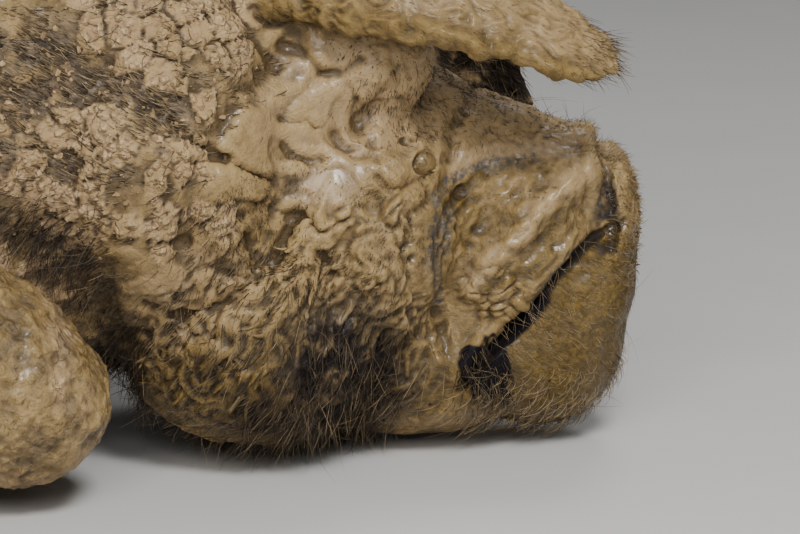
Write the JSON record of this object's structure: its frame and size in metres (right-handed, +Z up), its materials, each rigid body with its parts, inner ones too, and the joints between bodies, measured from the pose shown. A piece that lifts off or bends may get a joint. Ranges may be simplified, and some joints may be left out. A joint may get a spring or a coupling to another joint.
{
  "type": "domestic pig",
  "caption": "Still life-size model of a heavy, lop-eared, mud-covered domestic pig lying on its belly with folded legs and its chin just above the ground.",
  "frame": {"origin": "centre of the whole pig's box, on the floor it lies on", "axes": "+X the way the pig faces, +Y its left side, +Z up"},
  "size_m": [1.3768, 0.519, 0.4491],
  "materials": {
    "muddy_hide": "dark bristly hide under wet and drying clay-coloured mud",
    "snout_skin": "bare snout skin under wet mud",
    "eye": "wet dark brown eye",
    "claw_horn": "dull dark horn with mud"
  },
  "bodies": {
    "root": {"torso": "muddy_hide", "neck": "muddy_hide", "head": "muddy_hide", "lower_jaw": "muddy_hide", "snout_disc": "snout_skin", "tail": "muddy_hide", "ear_left": "muddy_hide", "eye_left": "eye", "thigh_left": "muddy_hide", "shank_left": "muddy_hide", "hind_cannon_left": "muddy_hide", "forearm_left": "muddy_hide", "fore_cannon_left": "muddy_hide", "fore_claw_left_outer": "claw_horn", "fore_claw_left_outer_dew": "claw_horn", "fore_claw_left_inner": "claw_horn", "fore_claw_left_inner_dew": "claw_horn", "hind_claw_left_outer": "claw_horn", "hind_claw_left_outer_dew": "claw_horn", "hind_claw_left_inner": "claw_horn", "hind_claw_left_inner_dew": "claw_horn", "ear_right": "muddy_hide", "eye_right": "eye", "thigh_right": "muddy_hide", "shank_right": "muddy_hide", "hind_cannon_right": "muddy_hide", "forearm_right": "muddy_hide", "fore_cannon_right": "muddy_hide", "fore_claw_right_outer": "claw_horn", "fore_claw_right_outer_dew": "claw_horn", "fore_claw_right_inner": "claw_horn", "fore_claw_right_inner_dew": "claw_horn", "hind_claw_right_outer": "claw_horn", "hind_claw_right_outer_dew": "claw_horn", "hind_claw_right_inner": "claw_horn", "hind_claw_right_inner_dew": "claw_horn"}
  },
  "joints": []
}
